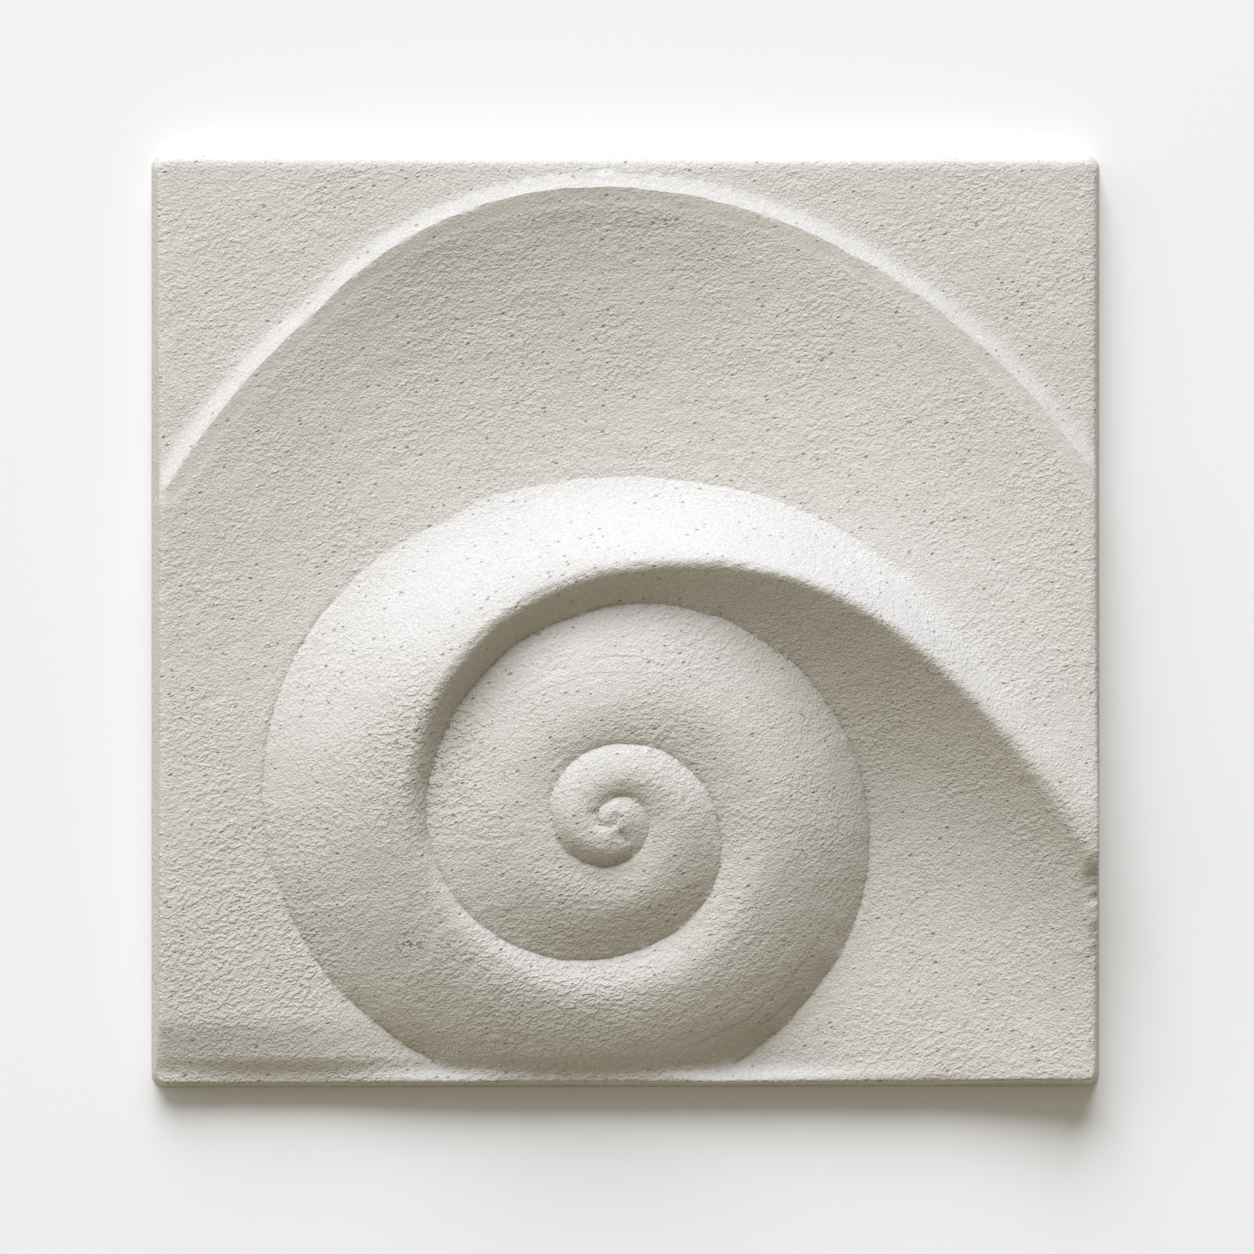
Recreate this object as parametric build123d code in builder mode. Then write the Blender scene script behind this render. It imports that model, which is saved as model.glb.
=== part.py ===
from build123d import *
import os
from math import atan2, cos, degrees, hypot, radians, sin, tan
from scipy.interpolate import PchipInterpolator

# A fired clay wall tile with a spiral shell in relief, lying on its flat back, in millimetres.
# The origin is the middle of the back, +X runs across the tile, +Y up it and +Z out of the relief.

# Slab: its size at the back, and how far its sides lean in up to the border of the face
tile_width = 200.0
tile_height = 196.4
border_thickness = 9.0
side_inset = 1.5
corner_radius = 3.0

# Pole of the spiral, measured from the middle of the tile
pole_x = -3.6
pole_y = -41.4

# The spiral is laid out by its turning angle in degrees, which starts to the right of the pole
# and runs counter-clockwise, inwards from the open mouth to the apex. Its radii and heights at the
# stations are counted in one unit of length, so that the whole relief grows and shrinks with it.
relief_unit = 1.0
whorls = 3

# Seam: the groove on the outer side of the coiling tube, by its radius from the pole and its height
seam_radius = {-96: 200, -60: 195, -24: 148, 0: 99, 45: 78.8, 90: 71.6, 120: 71.4, 150: 74.4, 180: 72.4,
               240: 61.9, 270: 58, 300: 57.6, 360: 54.1, 450: 44.5, 510: 39.6, 540: 38.8, 630: 29.1,
               690: 25.1, 720: 22, 810: 15.7, 870: 14, 990: 9.7, 1080: 7.4, 1200: 4.1, 1410: 1.8}
seam_height = {-96: 10, 0: 19.5, 45: 12.8, 90: 5.2, 180: 11.2, 270: 3.5, 360: 7, 405: 16.8, 450: 18.8,
               540: 18.8, 630: 14.5, 720: 20, 810: 22.6, 900: 21.8, 990: 21, 1080: 22.6, 1410: 24.8}

# Crest: the ridge of the tube, which over the first half turn is the sharp lip of the mouth
crest_radius = {-96: 185, -60: 180, -24: 132, 0: 94, 45: 66.2, 90: 52.2, 135: 46.3, 180: 42.2, 225: 38.7,
                270: 36.6, 360: 32, 450: 23.9, 540: 19.6, 630: 16, 720: 14, 810: 8.9, 900: 8.3, 1050: 5.3}
crest_height = {-96: 16, 0: 20.3, 45: 28, 90: 25.9, 135: 26.4, 180: 22.1, 225: 18.2, 270: 17, 360: 21,
                450: 23.9, 540: 21.9, 630: 20.9, 720: 23.6, 810: 24.9, 1050: 22.5}

# Sides of the tube, each bent by two handles, which are shares of the way outwards and upwards along it.
# The inner side is hollow where the mouth is open and round where the tube is closed.
# The outer side rolls over the crest and then over a shoulder, which is full at 1 and slack at 0.
mouth_opening = {-96: 1, 45: 0.35, 135: 0.15, 225: 0, 1410: 0}
hollow_side = ((0.72, 0.0), (0.96, 0.15))
round_side = ((0.2, 0.45), (0.5, 0.95))
crest_roll = (0.36, 0.1)
shoulder = {-96: 0.54, 90: 0.53, 270: 0.8, 540: 0.65, 780: 0.78, 1410: 0.8}
shoulder_reach = 1.35

# Rim: the raised arc around the sunken band outside the shell, and the ground beyond it
rim_radius = {-96: 220, -60: 210, -24: 170, 0: 140, 30: 121, 60: 128.8, 90: 132, 120: 122.9, 150: 114.5,
              330: 112}
rim_height = {-96: 9.8, 30: 12, 90: 11, 150: 11.6, 210: 6.8, 240: 4.5, 330: 8.5}
band_height = {-96: 9.8, 30: 13.5, 90: 3.9, 120: 5.1, 150: 10.4, 330: 13.5}
rim_drop_width = 3.0
ground_fall = 2.5

# Apex: the blunt bead on which the spiral closes
apex_height = 24.7
bead_radius = 2.0
bead_drop = 1.0
core_radius = 1.0

# Ledge: the narrow turned-up strip along the bottom, with a bevel behind it up to the relief
ledge_width = 2.2
ledge_height = 8.0
ledge_rise = 0.5
ledge_bevel = 60.0

turn = 360
section_step = 36
parting = -60
reach = hypot(tile_width, tile_height)
overhead = 2 * apex_height


def along(stations, angle):
    """The value at an angle of a smooth run through hand-set stations."""
    return float(PchipInterpolator(list(stations), list(stations.values()))(angle))


def station(radii, heights, angle):
    """The radius and the height of a line of the spiral at an angle."""
    return relief_unit * along(radii, angle), relief_unit * along(heights, angle)


def part_way(start, end, share_out, share_up):
    """A point part of the way from start to end, with its own share outwards and upwards."""
    return start[0] + share_out * (end[0] - start[0]), start[1] + share_up * (end[1] - start[1])


def side(start, handles, end):
    """One side of the tube as a curve from start to end, bent by its two handles."""
    Bezier(start, *[part_way(start, end, *handle) for handle in handles], end)


def ray(angle):
    """The upright plane along a ray from the pole, with its own X outwards and its own Y upwards."""
    return Plane(
        origin=(pole_x, pole_y, 0),
        x_dir=(cos(radians(angle)), sin(radians(angle)), 0),
        z_dir=(sin(radians(angle)), -cos(radians(angle)), 0),
    )


def section(angle):
    """The tile cut along one ray from the pole, from the core out past the border."""
    with BuildLine(ray(angle)) as cut:
        top = (core_radius, apex_height)
        foot = station(seam_radius, seam_height, angle + whorls * turn)
        Line((core_radius, 0), top)
        Line(top, foot)
        for whorl in reversed(range(whorls)):
            place = angle + whorl * turn
            crest = station(crest_radius, crest_height, place)
            opening = along(mouth_opening, place)
            side(foot, [part_way(*pair, opening, opening) for pair in zip(round_side, hollow_side)], crest)
            foot = station(seam_radius, seam_height, place)
            fullness = along(shoulder, place)
            side(crest, (crest_roll, (fullness, shoulder_reach - fullness)), foot)
        rim = station(rim_radius, rim_height, angle)
        Bezier(foot, ((foot[0] + rim[0]) / 2, relief_unit * along(band_height, angle)), rim)
        ground = (rim[0] + rim_drop_width, border_thickness)
        far = (reach, border_thickness - tan(radians(ground_fall)) * (reach - ground[0]))
        Polyline(rim, ground, far, (reach, 0), (core_radius, 0))
    return Face(cut.wire())


def half_turn(start):
    """The relief over half a turn, lofted one section further at both ends so that its ends run on."""
    stop = start + turn // 2
    with BuildPart() as half:
        loft([section(angle) for angle in range(start - section_step, stop + section_step + 1, section_step)])
        split(bisect_by=ray(start), keep=Keep.BOTTOM)
    return half.part


# The slab's outline, leaning in up to the border and upright above it
with BuildPart() as border:
    with BuildSketch():
        RectangleRounded(tile_width, tile_height, corner_radius)
    extrude(amount=border_thickness, taper=degrees(atan2(side_inset, border_thickness)))
    extrude(border.faces().sort_by(Axis.Z)[-1], amount=overhead)

with BuildPart() as relief_tile:
    add(half_turn(parting))
    add(half_turn(parting + turn // 2))
    # The bead at the apex, which also fills the core
    bead_level = apex_height - bead_drop
    with Locations((pole_x, pole_y)):
        Cylinder(bead_radius, bead_level, align=(Align.CENTER, Align.CENTER, Align.MIN))
    with Locations((pole_x, pole_y, bead_level)):
        Cone(bead_radius, core_radius, bead_drop, align=(Align.CENTER, Align.CENTER, Align.MIN))
    # The ledge: the relief is cut back along the bottom, and the strip takes its place
    edge = -tile_height / 2
    inner = (edge + side_inset + ledge_width, ledge_height - ledge_rise)
    bevel_top = (inner[0] + (overhead - inner[1]) / tan(radians(ledge_bevel)), overhead)
    with BuildSketch(Plane.YZ):
        with BuildLine():
            Polyline((edge, ledge_height), inner, bevel_top, (edge, overhead), close=True)
        make_face()
    extrude(amount=tile_width, both=True, mode=Mode.SUBTRACT)
    with BuildSketch(Plane.YZ):
        with BuildLine():
            Polyline((edge, 0), (edge, ledge_height), inner, (inner[0], 0), close=True)
        make_face()
    extrude(amount=tile_width, both=True)
    # Everything outside the leaning sides is cut away
    add(border.part, mode=Mode.INTERSECT)

os.makedirs("parts", exist_ok=True)
relief_tile.part.label = "relief_tile"
export_step(relief_tile.part, "parts/relief_tile.step")
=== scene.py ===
import math

import bpy
import numpy as np
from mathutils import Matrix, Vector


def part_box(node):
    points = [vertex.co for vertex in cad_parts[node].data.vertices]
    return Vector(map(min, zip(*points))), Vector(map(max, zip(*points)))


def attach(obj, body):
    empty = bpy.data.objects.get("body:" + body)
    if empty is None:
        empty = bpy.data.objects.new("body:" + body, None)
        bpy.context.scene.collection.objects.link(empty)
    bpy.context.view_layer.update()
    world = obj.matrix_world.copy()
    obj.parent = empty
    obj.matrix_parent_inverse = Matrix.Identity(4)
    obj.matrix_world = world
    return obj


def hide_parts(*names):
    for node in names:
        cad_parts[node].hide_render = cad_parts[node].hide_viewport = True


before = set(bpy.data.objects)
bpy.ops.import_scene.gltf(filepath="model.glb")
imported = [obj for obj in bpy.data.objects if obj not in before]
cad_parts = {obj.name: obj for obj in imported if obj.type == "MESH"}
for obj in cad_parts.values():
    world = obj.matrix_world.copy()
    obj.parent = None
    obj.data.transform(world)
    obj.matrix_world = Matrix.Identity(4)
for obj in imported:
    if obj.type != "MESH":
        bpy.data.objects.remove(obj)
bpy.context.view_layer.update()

# The relief tile: one slab of pale grogged clay with a coiled shell modelled on it by hand, fired unglazed.
# The clay was pushed over the form and worked with the fingers and a wooden tool, so every line wavers a
# little, the surface keeps a fine ripple with open pits, and the arrises are worn. Its back is flat.
mm = 0.001
back_half = (100.0 * mm, 98.2 * mm)
face_half = (98.5 * mm, 96.7 * mm)
border = 9.0 * mm
corner = 2.6 * mm
face_steps = (284, 279)
side_drops = (0.04, 0.09, 0.15, 0.22, 0.3, 0.38, 0.46, 0.54, 0.62, 0.7, 0.78, 0.86, 0.94, 1.0)
pole = (-3.6 * mm, -41.4 * mm)
solid_top = float(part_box("relief_tile")[1].z)


def rounded_corners(x, y):
    """Draws the corners of the face's points in to its rounded outline."""
    over_x = np.clip((np.abs(x) - face_half[0] + corner) / corner, 0, 1)
    over_y = np.clip((np.abs(y) - face_half[1] + corner) / corner, 0, 1)
    in_x = np.sign(x) * corner * over_x * (1 - np.sqrt(1 - over_y**2 / 2))
    in_y = np.sign(y) * corner * over_y * (1 - np.sqrt(1 - over_x**2 / 2))
    return x - in_x, y - in_y


def slab_blank(name):
    """The slab as one closed flat skin: a close grid for the face, around it rings for the sides, each of
    which knows how far down the side it belongs, and the back."""
    columns, rows = face_steps
    across = np.linspace(-face_half[0], face_half[0], columns + 1)
    up = np.linspace(-face_half[1], face_half[1], rows + 1)
    grid_x, grid_y = (a.ravel() for a in np.meshgrid(across, up))
    index = np.arange((columns + 1) * (rows + 1)).reshape(rows + 1, columns + 1)
    loop = np.concatenate([index[0, :-1], index[:-1, -1], index[-1, :0:-1], index[:0:-1, 0]])
    x = np.concatenate([grid_x] + [grid_x[loop]] * len(side_drops))
    y = np.concatenate([grid_y] + [grid_y[loop]] * len(side_drops))
    x, y = rounded_corners(x, y)
    drop = np.concatenate([np.zeros(len(grid_x))] + [np.full(len(loop), d) for d in side_drops])
    corners = (index[:-1, :-1], index[:-1, 1:], index[1:, 1:], index[1:, :-1])
    quads = np.stack(corners, -1).reshape(-1, 4).tolist()
    upper = loop
    for ring in range(len(side_drops)):
        lower = len(grid_x) + ring * len(loop) + np.arange(len(loop))
        quads += np.stack([upper, lower, np.roll(lower, -1), np.roll(upper, -1)], -1).tolist()
        upper = lower
    mesh = bpy.data.meshes.new(name)
    mesh.from_pydata(np.stack([x, y, np.zeros(len(x))], -1).tolist(), [], quads + [upper[::-1].tolist()])
    mesh.attributes.new("drop", "FLOAT", "POINT").data.foreach_set("value", drop.astype(np.float32))
    blank = bpy.data.objects.new(name, mesh)
    bpy.context.scene.collection.objects.link(blank)
    return blank


class Wire:
    """One socket of a node tree, so that sums on surfaces are written as plain expressions."""

    def __init__(self, tree, socket=None):
        self.tree = tree
        self.socket = socket

    def node(self, kind, settings=None, values=None, out=0):
        """A new node of a kind, with its settings first and then its sockets' values or wires."""
        made = self.tree.nodes.new(kind)
        for name, value in (settings or {}).items():
            setattr(made, name, value)
        for name, value in (values or {}).items():
            if isinstance(value, Wire):
                self.tree.links.new(value.socket, made.inputs[name])
            else:
                made.inputs[name].default_value = value
        return Wire(self.tree, made.outputs[out])

    def out(self, name):
        """Another output of the same node."""
        return Wire(self.tree, self.socket.node.outputs[name])

    def math(self, operation, *others):
        return self.node("ShaderNodeMath", {"operation": operation}, dict(enumerate((self, *others))))

    def __add__(self, other):
        return self.math("ADD", other)

    __radd__ = __add__

    def __sub__(self, other):
        return self.math("SUBTRACT", other)

    def __rsub__(self, other):
        return self * -1 + other

    def __mul__(self, other):
        return self.math("MULTIPLY", other)

    __rmul__ = __mul__

    def __truediv__(self, other):
        return self.math("DIVIDE", other)

    def __rtruediv__(self, other):
        return self.math("POWER", -1.0) * other

    def step(self, low, high):
        """A smooth step from 0 at low to 1 at high, which may be the smaller of the two."""
        return self.node("ShaderNodeMapRange", {"interpolation_type": "SMOOTHSTEP"},
                         {"Value": self, "From Min": low, "From Max": high})


def hand_modelling(name):
    """The tree that lays the blank over the solid relief and adds the handwork."""
    tree = bpy.data.node_groups.new(name, "GeometryNodeTree")
    tree.interface.new_socket("Geometry", in_out="OUTPUT", socket_type="NodeSocketGeometry")
    for label, kind in (("Geometry", "Geometry"), ("Solid Relief", "Object"), ("Clay", "Material"),
                        ("Waver", "Float"), ("Lumps", "Float"), ("Tool Marks", "Float"),
                        ("Growth Lines", "Float"), ("Arris Wear", "Float"), ("Seed", "Float")):
        tree.interface.new_socket(label, in_out="INPUT", socket_type="NodeSocket" + kind)
    given = Wire(tree).node("NodeGroupInput")
    waver, lumps, marks, lines, wear, seed = (
        given.out(n) for n in ("Waver", "Lumps", "Tool Marks", "Growth Lines", "Arris Wear", "Seed"))

    def vector(x, y, z=0.0):
        return given.node("ShaderNodeCombineXYZ", None, {"X": x, "Y": y, "Z": z})

    def apart(place):
        parts = given.node("ShaderNodeSeparateXYZ", None, {"Vector": place})
        return parts.out("X"), parts.out("Y"), parts.out("Z")

    def noise(place, size, detail, shift):
        """Even noise around 0 whose waves are about one size long."""
        return given.node("ShaderNodeTexNoise", {"noise_dimensions": "4D"},
                          {"Vector": place, "W": seed + shift, "Scale": 1 / size, "Detail": detail}) - 0.5

    def spot(x, y, centre, size):
        """1 at a place on the face, falling to 0 at its size, which is given across and up."""
        away_x, away_y = (x - centre[0] * mm) / (size[0] * mm), (y - centre[1] * mm) / (size[1] * mm)
        return (away_x * away_x + away_y * away_y).math("SQRT").step(1.0, 0.2)

    def named(label):
        return given.node("GeometryNodeInputNamedAttribute", {"data_type": "FLOAT"}, {"Name": label})

    def keep(skin, label, value):
        return given.node("GeometryNodeStoreNamedAttribute", {"data_type": "FLOAT"},
                          {"Geometry": skin, "Name": label, "Value": value})

    solid = given.node("GeometryNodeObjectInfo", None, {"Object": given.out("Solid Relief")}).out("Geometry")
    solid = given.node("GeometryNodeMergeByDistance", None, {"Geometry": solid, "Distance": 0.001 * mm})
    flat = given.node("GeometryNodeInputPosition")
    x, y, _ = apart(flat)
    side_x, side_y = face_half[0] - x.math("ABSOLUTE"), face_half[1] - y.math("ABSOLUTE")
    inset = side_x.math("MINIMUM", side_y)
    drop = named("drop")

    # The sharp lines of the relief, seen from above: the lip and the rim stand out, the seams run in
    ridge_bend, seam_bend, crease_bend = 0.42, -0.2, 0.25
    coil_reach, catch_reach, ledge_line = 36 * mm, 0.42 * mm, -92 * mm
    bend = given.node("GeometryNodeInputMeshEdgeAngle").out("Signed Angle")
    middle = inset.math("GREATER_THAN", 1.5 * mm) * y.math("GREATER_THAN", ledge_line)

    def nearest(chosen, place):
        """The nearest place on the chosen sharp lines, and how far away it is."""
        sharp = given.node("GeometryNodeSeparateGeometry", {"domain": "EDGE"},
                           {"Geometry": solid, "Selection": chosen * middle})
        sharp = given.node("GeometryNodeSetPosition", None, {"Geometry": sharp, "Position": vector(x, y)})
        found = given.node("GeometryNodeProximity", {"target_element": "EDGES"},
                           {"Geometry": sharp, "Sample Position": place})
        return *apart(found)[:2], found.out("Distance")

    # Each point of the skin feels for the solid at a place that wavers, and catches a sharp line beside it
    inside, draw_in = inset.step(0.5 * mm, 6 * mm), 0.9965
    sway_x = x * draw_in + noise(flat, 8 * mm, 2.0, 1) * waver * inside
    sway_y = y * draw_in + noise(flat, 8 * mm, 2.0, 2) * waver * inside
    sway_y = sway_y + (ledge_line - sway_y).math("MAXIMUM", 0.0) * x.step(58 * mm, 76 * mm)
    off_x, off_y = x - pole[0], y - pole[1]
    off_coil = (off_x * off_x + off_y * off_y).math("SQRT").math("GREATER_THAN", coil_reach)
    ridges, seams = bend.math("GREATER_THAN", ridge_bend) * off_coil, bend.math("LESS_THAN", seam_bend)
    ridge_x, ridge_y, to_ridge = nearest(ridges, vector(sway_x, sway_y))
    seam_x, seam_y, to_seam = nearest(seams, vector(sway_x, sway_y))
    out_x, out_y = sway_x - pole[0], sway_y - pole[1]
    radius = (out_x * out_x + out_y * out_y).math("SQRT") + 0.5 * mm
    turn_x, turn_y = out_x / radius, out_y / radius
    to_seam = to_seam + radius.step(79 * mm, 83 * mm) * radius.step(110 * mm, 106 * mm) * mm
    on_ridge = to_ridge.math("LESS_THAN", to_seam)
    line_x, line_y = seam_x + (ridge_x - seam_x) * on_ridge, seam_y + (ridge_y - seam_y) * on_ridge
    caught = to_ridge.math("MINIMUM", to_seam).math("LESS_THAN", catch_reach)
    caught = caught * inset.math("GREATER_THAN", 0.6 * mm)
    pull_x, pull_y = (line_x - sway_x) * caught, (line_y - sway_y) * caught
    beside = caught * 0.12 * mm
    over = vector(sway_x + pull_x + turn_x * beside, sway_y + pull_y + turn_y * beside, 2 * solid_top)
    felt = given.node("GeometryNodeRaycast", None, {
        "Target Geometry": solid, "Source Position": over,
        "Ray Direction": (0, 0, -1), "Ray Length": 4 * solid_top}, "Hit Position")
    skin = keep(given.out("Geometry"), "felt", apart(felt)[2])
    # The outer foot of the rim is only half held, so that it fades into the ground, and the rim is smoothed
    rim_foot = (1 - on_ridge) * radius.step(100 * mm, 108 * mm)
    skin = keep(skin, "caught", caught * (1 - 0.5 * rim_foot))
    skin = keep(skin, "smoothed", to_ridge.step(4.5 * mm, 2.5 * mm) * radius.step(104 * mm, 108 * mm))
    ease = (1 - named("caught")) * (0.06 + 0.94 * radius.step(3 * mm, 14 * mm))
    ease = ease * (0.15 + 0.85 * y.step(-93.5 * mm, -90 * mm))
    height = given.node("GeometryNodeBlurAttribute", {"data_type": "FLOAT"},
                        {"Value": named("felt"), "Iterations": 14, "Weight": ease})

    # Handwork: low lumps, marks drawn around the whorls, growth lines across them, and worn arrises
    depth = radius.math("LOGARITHM", math.e)
    around = vector(turn_x * 3, turn_y * 3, depth * 22)
    across = vector(turn_x * 18, turn_y * 18, depth * 2.5)
    shell = radius.step(74 * mm, 60 * mm)
    height = height + noise(flat, 14 * mm, 1.0, 3) * lumps
    height = height + noise(flat, 3.2 * mm, 1.0, 4) * lumps * 0.35
    height = height + noise(around, 1.0, 2.0, 5) * marks
    here_and_there = shell * noise(flat, 22 * mm, 0.0, 7).step(-0.05, 0.15)
    height = height + noise(across, 1.0, 1.0, 6) * lines * here_and_there
    ragged = noise(flat, 2.6 * mm, 3.0, 8) + 0.5
    height = height - inset.step(1.3 * mm, 0.0) * (0.15 * mm + ragged * wear)
    worn = on_ridge * radius.step(104 * mm, 94 * mm) * (0.1 * mm + 1.4 * ragged * wear)
    in_seam = (1 - on_ridge) * radius.step(84 * mm, 78 * mm) * y.step(16 * mm, -4 * mm)
    grooved = in_seam * (0.1 * mm + 0.7 * ragged * wear)
    height = height - named("caught") * (worn + grooved)
    # The seam's line, along which the clay's colour is darkened brown
    skin = keep(skin, "seam_dirt", named("caught") * in_seam)

    # The skin of the clay has flaked in patches, most of all by the crest at the left, and is gouged once
    flaked = 0.05 * noise(flat, 16 * mm, 0.0, 11).step(-0.08, 0.1)
    for place, reach, much in (((-43, -27), 18, 0.17), ((-80, -66), 34, 0.1), ((-14, -84), 34, 0.1),
                               ((-45.5, -68.3), 4.5, -0.6)):
        flaked = flaked + spot(x, y, place, (reach, reach)) * much
    skin = keep(skin, "flaked", flaked)

    # The ground rolls down to the ledge at the lower left, the ledge turns up to its edge, and the lip has
    # lost a ragged chip where it meets the side
    height = height - y.step(-83 * mm, -94 * mm) * x.step(-30 * mm, -72 * mm) * 1.9 * mm
    hollow = y.step(-91.5 * mm, -94 * mm) * y.step(-96.6 * mm, -94.4 * mm) * x.step(30 * mm, 4 * mm)
    height = height - hollow * 0.5 * mm
    height = height + y.step(-95.2 * mm, -96.3 * mm) * x.step(60 * mm, 80 * mm) * 0.25 * mm
    broken = noise(flat, 1.7 * mm, 3.0, 10).step(-0.12, 0.12)
    height = height - spot(x, y, (98.5, -55), (4.0, 7)) * (1.2 * mm + broken * 0.7 * mm)
    height = height - spot(x, y, (98.5, -64), (2.2, 18)) * broken * 0.6 * mm

    # The innermost curl ends in a small hook, parted from the whorl below it by a groove
    for place in ((-2.9, -41.2), (-4.0, -42.8), (-5.7, -43.2), (-7.1, -42.3), (-7.5, -40.4)):
        height = height - spot(x, y, place, (1.5, 1.5)) * 0.6 * mm
    height = height.math("MINIMUM", solid_top - 0.02 * mm)

    level = height * (1 - drop)
    lean = (1 - (level / border).math("MINIMUM", 1.0)) * inset.step(8 * mm, 0.0)
    dent = (noise(flat, 9 * mm, 3.0, 9) + 0.5) * 0.004 * (1 - (drop * 2 - 1).math("ABSOLUTE"))
    laid = vector((x + pull_x) * (1 + lean * (back_half[0] / face_half[0] - 1)) * (1 - dent),
                  (y + pull_y) * (1 + lean * (back_half[1] / face_half[1] - 1)) * (1 - dent), level)
    skin = given.node("GeometryNodeSetPosition", None, {"Geometry": skin, "Position": laid})
    skin = given.node("GeometryNodeSetShadeSmooth", {"domain": "FACE"},
                      {"Geometry": skin, "Shade Smooth": True})
    crease = given.node("GeometryNodeInputMeshEdgeAngle").math("GREATER_THAN", crease_bend)
    crease = crease * named("caught").math("GREATER_THAN", 0.9)
    skin = given.node("GeometryNodeSetShadeSmooth", {"domain": "EDGE"},
                      {"Geometry": skin, "Selection": crease, "Shade Smooth": False})
    # How far each face leans towards the window at the top, which the clay's colour uses for painted light
    # and shade
    skin = keep(skin, "facing_up", apart(given.node("GeometryNodeInputNormal"))[1])
    skin = given.node("GeometryNodeRealizeInstances", None, {"Geometry": skin})
    skin = given.node("GeometryNodeSetMaterial", None, {"Geometry": skin, "Material": given.out("Clay")})
    tree.links.new(skin.socket, tree.nodes.new("NodeGroupOutput").inputs["Geometry"])
    return tree


def bisque_clay(name):
    """Unglazed off-white clay: fine ripples, open pits, grit, and a slightly uneven warm white."""
    clay = bpy.data.materials.new(name)
    clay.use_nodes = True
    shader = clay.node_tree.nodes["Principled BSDF"]
    bench = Wire(clay.node_tree)
    place = bench.node("ShaderNodeTexCoord", out="Object")

    def drawn_out(stretch, tilt, shift):
        """The place in the clay, drawn out along a tilted direction and shifted."""
        return bench.node("ShaderNodeMapping", {"vector_type": "TEXTURE"},
                          {"Vector": place, "Rotation": (0, 0, math.radians(tilt)),
                           "Location": (shift, shift, shift), "Scale": (stretch, 1, 1)})

    def noise(at, size, detail):
        """Noise from 0 to 1 with waves of one size."""
        return bench.node("ShaderNodeTexNoise", None, {"Vector": at, "Scale": 1 / size, "Detail": detail})

    def near(x, y, z):
        """How far a point of the clay lies from a place given in millimetres."""
        return bench.node("ShaderNodeVectorMath", {"operation": "DISTANCE"},
                          {0: place, 1: (x * mm, y * mm, z * mm)}, "Value") / mm

    def kept(label):
        """A value that the skin carries."""
        return bench.node("ShaderNodeAttribute", {"attribute_name": label}).out("Fac")

    def mixed(share, first, second):
        return bench.node("ShaderNodeMix", {"data_type": "RGBA"}, {0: share, 6: first, 7: second}, 2)

    # Grit and ripples in the skin, and grog, each grain of which has fallen out as a pit or stands out as a
    # speck. The rim was smoothed with a finger.
    grit = noise(place, 0.5 * mm, 1.0)
    ripple = noise(drawn_out(1.35, 24, 0.1), 1.0 * mm, 1.0)
    swell = noise(drawn_out(1.4, 24, 0.3), 2.6 * mm, 1.0)
    flakes = ripple.step(0.5, 0.6)
    grog = bench.node("ShaderNodeTexVoronoi", None,
                      {"Vector": drawn_out(1.7, 24, 0.2), "Scale": 1 / (1.35 * mm)})
    chance = bench.node("ShaderNodeSeparateColor", None, {"Color": grog.out("Color")}).out("Red")
    pit_size = (chance - 0.42).math("MAXIMUM", 0.0) * 0.52 + 0.0001
    speck_size = (0.42 - chance).math("MAXIMUM", 0.0) * 0.72 + 0.0001
    pit = (grog.out("Distance") / pit_size).step(1.0, 0.4)
    speck = (grog.out("Distance") / speck_size).step(1.0, 0.4)
    flaked = kept("flaked")
    relief = grit * 0.22 + ripple * 0.16 + swell * 0.16 + flakes * flaked - pit * 0.16 + speck * 0.13
    relief = relief * (1 - 0.5 * kept("smoothed"))
    bump = bench.node("ShaderNodeBump", None, {"Strength": 1.0, "Distance": mm, "Height": relief})
    clay.node_tree.links.new(bump.socket, shader.inputs["Normal"])

    # Hairline cracks run along the whorls: each by its radius from the pole, its middle and its reach
    parts = bench.node("ShaderNodeSeparateXYZ", None, {"Vector": place})
    out_x, out_y = parts.out("X") - pole[0], parts.out("Y") - pole[1]
    radius = (out_x * out_x + out_y * out_y).math("SQRT") / mm + 3 * noise(place, 9 * mm, 1.0) - 1.5
    crack = 0.0
    for ring, middle, reach in ((50.6, (29.3, -81.5, 11), 24), (53.8, (31.4, -83.6, 9), 9),
                                (30.6, (-10.7, -13.5, 22), 16), (34, (0.4, -8, 22), 11)):
        line = (radius - ring).math("ABSOLUTE").step(0.28, 0.08)
        crack = line * near(*middle).step(reach, reach / 2) + crack

    # Painted light and shade: faces turned up towards the window get a paler, cooler colour and faces turned
    # away from it a browner, warmer one. The pits, the cracks, the seam and the gouge are darkened brown
    shaded_side_colour, lit_side_colour, dark_brown = (0.664, 0.612, 0.506, 1), (0.59, 0.576, 0.57, 1), (0.34, 0.28, 0.2, 1)
    tone = mixed(kept("facing_up") * 0.5 + 0.5, shaded_side_colour, lit_side_colour)
    darkening = 0.75 * pit + 0.4 * crack + 0.35 * kept("seam_dirt") * flakes
    darkening = darkening + flakes * (0 - flaked).math("MAXIMUM", 0.0)
    tone = mixed(darkening, tone, dark_brown)
    shade = 0.96 + 0.08 * (noise(place, 26 * mm, 1.0) - 0.5) + 0.3 * (grit - 0.5) + 0.1 * speck
    shade = shade + 0.28 * (noise(place, 0.36 * mm, 0.0) - 0.5)
    colour = bench.node("ShaderNodeVectorMath", {"operation": "SCALE"}, {0: tone, "Scale": shade})
    clay.node_tree.links.new(colour.socket, shader.inputs["Base Color"])
    shader.inputs["Roughness"].default_value = 0.92
    shader.inputs["Specular IOR Level"].default_value = 0.2
    return clay


solid_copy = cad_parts["relief_tile"].copy()
solid_copy.data = solid_copy.data.copy()
solid_copy.parent = None
bpy.context.scene.collection.objects.link(solid_copy)

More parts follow.
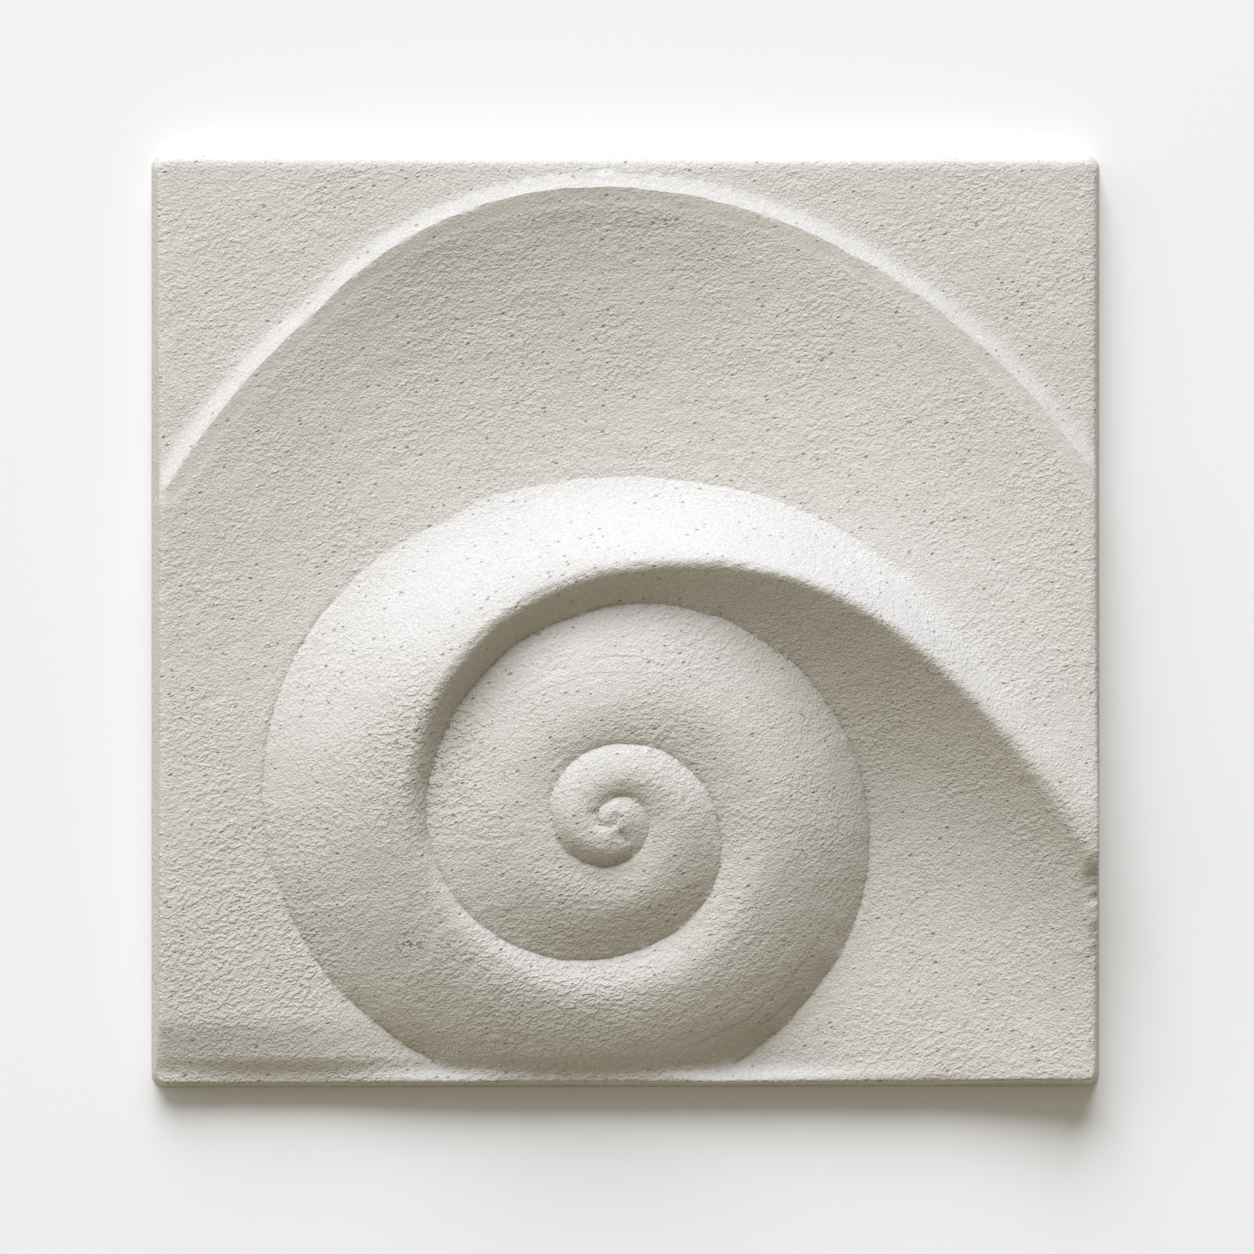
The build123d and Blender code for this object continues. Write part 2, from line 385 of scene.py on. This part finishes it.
blank = slab_blank("clay_blank")
handwork = hand_modelling("hand_modelled_relief")
modifier = blank.modifiers.new("relief", "NODES")
modifier.node_group = handwork
inputs = {s.name: s.identifier for s in handwork.interface.items_tree if s.in_out == "INPUT"}
for label, value in (("Solid Relief", solid_copy), ("Clay", bisque_clay("bisque_clay")), ("Waver", 1.4 * mm),
                     ("Lumps", 0.45 * mm), ("Tool Marks", 0.3 * mm), ("Growth Lines", 0.3 * mm),
                     ("Arris Wear", 0.5 * mm), ("Seed", 3.0)):
    modifier[inputs[label]] = value
evaluated = blank.evaluated_get(bpy.context.evaluated_depsgraph_get())
relief = bpy.data.objects.new("relief_tile_clay", bpy.data.meshes.new_from_object(evaluated))
bpy.context.scene.collection.objects.link(relief)
bpy.data.objects.remove(blank)
bpy.data.objects.remove(solid_copy)
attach(relief, "root")
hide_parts("relief_tile")

# The ground under the tile: a plain sheet of matt white paper, laid flat and wide enough to fill the picture.
# The tile lies loose on it with its flat back down.
floor_half = 4.0
sheet = bpy.data.meshes.new("white_sheet")
sheet.from_pydata([(x * floor_half, y * floor_half, 0) for x, y in ((-1, -1), (1, -1), (1, 1), (-1, 1))],
                  [], [(0, 1, 2, 3)])
floor = bpy.data.objects.new("white_sheet", sheet)
bpy.context.scene.collection.objects.link(floor)
paper = bpy.data.materials.new("white_paper")
paper.use_nodes = True
matt = paper.node_tree.nodes["Principled BSDF"]
matt.inputs["Base Color"].default_value = (0.884, 0.87, 0.857, 1)
matt.inputs["Roughness"].default_value = 0.95
matt.inputs["Specular IOR Level"].default_value = 0.1
sheet.materials.append(paper)

# The light: one broad soft window beyond the top of the tile, a weaker one at its left, and a warm pale room
# around them that fills the hollows.
window_far = 10
bpy.context.scene.view_settings.view_transform = "Standard"
for name, turned, lift, power in (("window", 97, 31, 1520), ("side_window", 158, 24, 190)):
    window = bpy.data.lights.new(name, "AREA")
    window.shape = "DISK"
    window.size = 8.0
    window.energy = power
    window.color = (0.96, 1, 1.09)
    lamp = bpy.data.objects.new(name, window)
    around, up = math.radians(turned), math.radians(lift)
    along_floor, above_floor = window_far * math.cos(up), window_far * math.sin(up)
    lamp.location = (along_floor * math.cos(around), along_floor * math.sin(around), above_floor)
    lamp.rotation_euler = (math.pi / 2 - up, 0, around + math.pi / 2)
    bpy.context.scene.collection.objects.link(lamp)
room = bpy.data.worlds.new("room")
room.use_nodes = True
room.node_tree.nodes["Background"].inputs["Color"].default_value = (1.08, 1, 0.78, 1)
room.node_tree.nodes["Background"].inputs["Strength"].default_value = 0.25
bpy.context.scene.world = room

# The camera: far off and square above the tile, with the whole tile and a margin of the sheet in view.
# It stands a little to the left, so that the left side of the tile shows more than the right side.
view_width, camera_height, camera_left = 264.27 * mm, 3.0, 0.12
aim = (0.21 * mm, -1.26 * mm)
camera = bpy.data.cameras.new("camera")
camera.sensor_width = 36
camera.lens = 36 * camera_height / view_width
camera.clip_end = 20
eye = bpy.data.objects.new("camera", camera)
eye.location = (aim[0] - camera_left, aim[1], camera_height)
eye.rotation_euler = (0, -math.atan2(camera_left, camera_height), 0)
bpy.context.scene.collection.objects.link(eye)
bpy.context.scene.camera = eye
